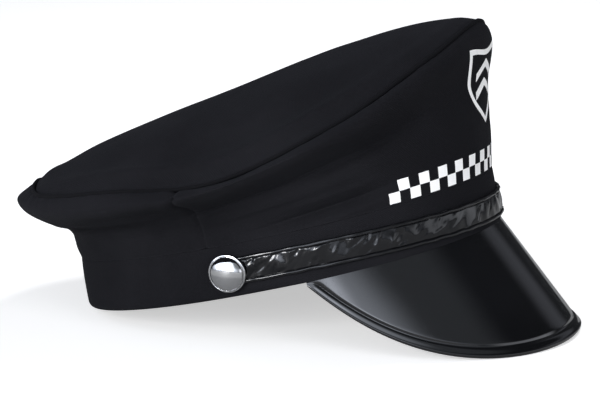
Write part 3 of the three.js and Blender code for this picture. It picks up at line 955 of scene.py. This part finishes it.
# Both faces of the peak: its top edge comes up to the band's foot, outside it rises by
# rimRise over the rim, past a groove, and the edge is half a circle of the wall's
# thickness, sqrt(r^2 - (r - d)^2) at a distance d
def makePeak():
    s = peakSizes
    column = np.linspace(-1, 1, s["columns"])[None, :]
    angle = np.radians(s["halfAngle"]) * column
    fullLength = peakLengthAt(np.abs(column))
    top = -0.9 * crownSizes["gap"]
    rimZone = np.minimum(1.5 * s["rimWidth"], fullLength / 2)
    field = np.linspace(0, 1, s["rows"])[:-1, None]
    nearRim = np.linspace(0, 1, s["rimRows"])[:, None]
    aboveRim = top + (fullLength - rimZone - top) * field
    length = np.concatenate([aboveRim, fullLength - rimZone * (1 - nearRim)])
    angle = angle + 0 * length
    bare = peakPoint(angle, length)
    normals = -gridNormals(bare, False)
    fromRim = fullLength - length
    rise = s["rimRise"] * (1 - ease(fromRim, s["rimWidth"] - 0.5, s["rimWidth"] + 0.3))
    groove = s["groove"] * hill(fromRim - s["rimWidth"] - 0.6, s["grooveWidth"])
    bead = s["rimBead"] * hill(fromRim - s["beadAt"], s["beadWidth"])
    lift = (rise + bead - groove) * ease(length, 0, 2.5)
    half = (s["wall"] + s["rimRise"]) / 2
    d = np.minimum(fromRim, half)
    edge = half - np.sqrt(np.maximum(half**2 - (half - d) ** 2, 0))
    outer = bare + (lift - edge)[..., None] * normals
    inner = bare - (s["wall"] - edge)[..., None] * normals
    inner[-1] = outer[-1]
    skin = skinBetween(outer, inner, False, clothMap(bare))
    addPiece("peak_patent", skin, patent, ["peak"])


makePeak()
print("peak made")


# Strap

strapSizes = {
    "width": 12.5,
    "thickness": 1,
    "edge": 1.9,  # diameter of the rolled edges
    "height": 11.8,  # of its middle over the band's foot, at the buttons
    "heightFront": 8.2,
    "tail": 6,  # length past a button
    "puff": 0.45,  # how far the middle swells out
    "buckle": 0.2,  # height of the broad waves along it
    "waver": 0.1,  # of the rolled edges, in and out
    "widthWaver": 0.014,  # share of its width
    "creases": 230,
    "creaseDepth": 0.5,
    "creaseWidth": (0.6, 1.3),  # of the finest and of the broadest
    "creaseReach": (2.2, 6),
    "columns": 900,
}
buttonSizes = {
    "angle": 89.5,  # from the front
    "diameter": 17.5,
    "rise": 5,
    "rim": 1,  # thickness of the flange
    "domeInset": 0.9,  # of the dome's foot from the flange's edge
    "domeFoot": 0.75,  # its height
    "shank": 3,
    "sides": 72,
}


def strapHeightAt(angle):
    s = strapSizes
    return s["height"] + (s["heightFront"] - s["height"]) * np.maximum(np.cos(angle), 0) ** 2


# Creases at (along, across) in millimetres, more, finer and deeper ones towards the buttons:
# each a short ridge or furrow, depth * exp(-(off / width)^2 - (way / reach)^4), with off
# measured across it and way along it
def creasesAt(along, across, length):
    s = strapSizes
    draw = np.random.default_rng(41)
    total = 0 * along * across
    for k in range(s["creases"]):
        middle = draw.choice([-1, 1]) * length * draw.uniform() ** 0.62
        height = draw.uniform(-0.4, 0.4) * s["width"]
        slant = math.copysign(draw.uniform(0.15, 1.25), middle)
        broad = draw.uniform(0, 1) * (1 - 0.75 * (abs(middle) / length) ** 1.5)
        width = s["creaseWidth"][0] + (s["creaseWidth"][1] - s["creaseWidth"][0]) * broad
        reach = s["creaseReach"][0] + (s["creaseReach"][1] - s["creaseReach"][0]) * broad
        depth = draw.uniform(0.2, 1) ** 1.6 * draw.choice([-1, 1])
        depth = depth * (0.6 + 0.9 * (abs(middle) / length) ** 3)
        off = (along - middle) * math.cos(slant) + (across - height) * math.sin(slant)
        way = (across - height) * math.cos(slant) - (along - middle) * math.sin(slant)
        total = total + depth * np.exp(-((off / width) ** 2) - (way / reach) ** 4)
    return s["creaseDepth"] * total


# Section of the strap as [out from the band, up from its middle, share of the creases]: a
# rolled edge, half a circle and the slope inside it, the thin middle, and the other edge
def strapSection():
    s = strapSizes
    half, radius = s["width"] / 2, s["edge"] / 2
    turn = np.linspace(0, np.pi, 12)
    slope = np.linspace(0.25, np.pi / 2, 5)
    middle = np.linspace(1, -1, 34)[1:-1] * (half - s["edge"])
    bead = np.stack([radius - radius * np.cos(turn), half - radius + radius * np.sin(turn), 0 * turn], -1)
    inside = np.stack([radius + radius * np.cos(slope), half - radius - 0.9 * radius * np.sin(slope),
                       0 * slope + 0.2], -1)
    upper = np.concatenate([bead, inside])
    flat = np.stack([0 * middle + s["thickness"], middle, 0 * middle + 1], -1)
    return np.concatenate([upper, flat, upper[::-1] * [1, -1, 1]])


# The section along the band from tail to tail. Its middle swells by puff * cos(pi/2 across)
# and takes the creases; the rolled edges waver a little
def makeStrap():
    s = strapSizes
    half = s["width"] / 2
    reach = np.radians(buttonSizes["angle"])
    speed = np.linalg.norm(np.diff(ovalPoint(reach + np.array([0, 0.01]), 0, 0), axis=0)) / 0.01
    end = reach + s["tail"] / speed
    angle = np.linspace(-end, end, s["columns"])[:, None]
    out, up, soft = strapSection().T
    across = up / half
    along = runningSum(stepLengths(ovalPoint(angle[:, 0], 0, 0), 0))[:, None]
    along = along - along[-1] / 2
    waves = s["buckle"] * ringNoise(angle, across, (22, 60), (0.1, 0.5), 12, 42)
    swell = s["puff"] * np.cos(across * np.pi / 2) + waves
    creased = creasesAt(along, up, along.max()) * (1 - across**4)
    waver = s["waver"] * ringNoise(angle, across, (20, 70), (0, 0.5), 12, 44) * (out > s["edge"] / 2)
    total = crownSizes["gap"] + np.maximum(out + soft * (swell + creased) + waver, 0)
    wider = s["widthWaver"] * ringNoise(angle, 0 * across, (14, 60), (0, 1), 9, 45)
    height = strapHeightAt(angle) + up * (1 + wider)
    rings = bandPoint(angle + 0 * total, height, total)
    addPiece("strap_patent", carriedSection(rings, False), strapPatent, ["strap"], 60, True)


makeStrap()
print("strap made")


# Buttons

# Profile [radius, height] turned about the seat's axis: shank, flange with a rounded edge,
# and a dome, an ellipse quarter from the rim up
def buttonProfile():
    s = buttonSizes
    radius, rim = s["diameter"] / 2, s["rim"]
    length = 2 * crownSizes["gap"] + strapSizes["edge"] + bandSizes["wall"]
    edgeTurn = np.linspace(-np.pi / 2, np.pi / 2, 9)
    edge = np.stack([radius - rim / 2 + rim / 2 * np.cos(edgeTurn), rim / 2 + rim / 2 * np.sin(edgeTurn)], -1)
    domeTurn = np.linspace(0, np.pi / 2, 20)
    dome = np.stack([(radius - s["domeInset"]) * np.cos(domeTurn),
                     s["domeFoot"] + (s["rise"] - s["domeFoot"]) * np.sin(domeTurn)], -1)
    shank = np.array([[0, -length], [s["shank"] / 2, -length], [s["shank"] / 2, 0]])
    return np.concatenate([shank, edge, dome])


def makeButton(side, name):
    s = buttonSizes
    angle = np.array(side * np.radians(s["angle"]))
    height = np.array(float(strapSizes["height"]))
    foot = bandPoint(angle, height)
    alongRound = bandPoint(angle + 0.01, height) - bandPoint(angle - 0.01, height)
    alongUp = bandPoint(angle, height + 0.5) - bandPoint(angle, height - 0.5)
    normal = unit(np.cross(alongRound, alongUp))
    seat = foot + normal * (2 * crownSizes["gap"] + strapSizes["edge"])
    sideways = unit(np.cross(normal, [0, 0, 1]))
    upward = np.cross(sideways, normal)
    radius, rise = buttonProfile().T
    turn = ringAngles(s["sides"])[:, None]
    circle = np.cos(turn)[..., None] * sideways + np.sin(turn)[..., None] * upward
    rings = seat + radius[None, :, None] * circle + rise[None, :, None] * normal
    points = np.moveaxis(rings, 0, 1)  # one row for each point of the profile
    rows, count = points.shape[:2]
    faces = quadsOf(wrapped(np.arange(rows * count).reshape(rows, count)))
    around = np.stack(np.meshgrid(np.linspace(0, 1, count + 1), np.linspace(0, 1, rows)), -1)
    shape = points.reshape(-1, 3), faces.reshape(-1, 4), quadsOf(around).reshape(-1, 4, 2)
    addPiece(name, shape, chrome, [f"button_{name[5:]}"], 40)


makeButton(-1, "snap_right")
makeButton(1, "snap_left")
print("buttons made")


# Stage

studio = {
    "floorHalf": 9,  # half the side of the floor
    "floorDark": (0.87, 0.87, 0.87, 1),
    "floorLight": (0.9, 0.9, 0.9, 1),
    "floorGlow": 0.52,  # the floor's own light as the camera sees it; it keeps shadows pale
    "floorInGloss": 0.5,  # share of its colour that shows in glossy pieces
    "roomOnCloth": 0.33,  # share of the room's light that falls on what isn't glossy
    "room": (0.035, 0.037, 0.04, 1),
    "front": (2.45, 2.62, 2.95, 1),
    "low": (5.2, 5.5, 6.2, 1),
    "side": (0.26, 0.28, 0.3, 1),
    "back": (0.22, 0.23, 0.26, 1),
    "ahead": (1.3, 1.35, 1.45, 1),
}

# Soft boxes of the room as [colour, azimuth from, to, softness, elevation from, to,
# softness] in degrees, the azimuth counted as the camera's is
softBoxes = [
    ["front", -75, 49, 32, 4, 62, 14],
    ["low", -50, 23, 6, 4, 12, 4],
    ["side", 30, 84, 16, 12, 60, 14],
    ["back", 141, 157, 6, 4, 44, 8],
    ["ahead", 70, 128, 10, 0, 16, 6],
]


# Floor: matte board clouded by slow noise. To the camera it also glows a little
def addFloor():
    half = studio["floorHalf"]
    mesh = bpy.data.meshes.new("floor")
    mesh.from_pydata([(x * half, y * half, 0) for x, y in ((-1, -1), (1, -1), (1, 1), (-1, 1))],
                     [], [(0, 1, 2, 3)])
    material, n, place = newMaterial("pale_floor")
    cloud = n.noise(place["Object"], 3, 2)
    colour = n.mix(cloud, studio["floorDark"], studio["floorLight"])
    path = n.add("ShaderNodeLightPath").outputs
    dimmed = n.times(path["Is Glossy Ray"], 1 - studio["floorInGloss"])
    colour = n.mix(dimmed, colour, (0, 0, 0, 1))
    glow = n.times(path["Is Camera Ray"], studio["floorGlow"])
    n.finish(colour, None, n.ramp(cloud, 0, 1, 0.7, 0.8), Emission_Color=(1, 1, 1, 1), Emission_Strength=glow)
    mesh.materials.append(material)
    floor = bpy.data.objects.new("floor", mesh)
    show(floor)


# Room light from the direction (x, y, z): azimuth atan2(x, -y), elevation asin z. A box
# covers the room by the product of four soft edges
def addRoom():
    world = bpy.data.worlds.new("studio")
    bpy.context.scene.world = world
    n = Nodes(world)
    direction = n.add("ShaderNodeTexCoord").outputs["Generated"]
    x, y, z = n.add("ShaderNodeSeparateXYZ", at0=direction).outputs
    perRadian = 180 / math.pi
    azimuth = n.times(n.math("ARCTAN2", x, n.times(y, -1.0)), perRadian)
    elevation = n.times(n.math("ARCSINE", z), perRadian)

    def between(value, low, high, soft):
        return n.times(n.ramp(value, low - soft, low + soft),
                       n.ramp(value, high - soft, high + soft, 1.0, 0.0))

    colour = studio["room"]
    for name, left, right, soft, low, high, softUp in softBoxes:
        share = n.times(between(azimuth, left, right, soft), between(elevation, low, high, softUp))
        colour = n.mix(share, colour, studio[name])
    inGloss = n.add("ShaderNodeLightPath").outputs["Is Glossy Ray"]
    strength = n.math("MULTIPLY_ADD", inGloss, 1 - studio["roomOnCloth"], studio["roomOnCloth"])
    light = n.add("ShaderNodeBackground", Color=colour, Strength=strength)
    n.add("ShaderNodeOutputWorld", Surface=light.outputs[0])


# Lamps as [name, place, side of the square, power], each turned to face the cap. They
# light the cloth; only the key shows in the gloss too, with the room
lamps = [
    ["overhead", (0.25, 0.9, 1.55), 0.45, 15],
    ["key", (-0.3, -1.6, 0.5), 0.5, 19],
    ["fill", (1.15, -0.9, 0.5), 0.7, 8],
]


def addLamps():
    for name, place, size, power in lamps:
        data = bpy.data.lights.new(name, "AREA")
        data.size = size
        data.energy = power
        lamp = bpy.data.objects.new(name, data)
        lamp.visible_glossy = name == "key"
        place = Vector(place)
        lamp.matrix_world = Matrix.Translation(place) @ place.to_track_quat("Z", "Y").to_matrix().to_4x4()
        show(lamp)


addFloor()
addRoom()
addLamps()
bpy.context.scene.view_settings.view_transform = "Standard"
print("stage set")
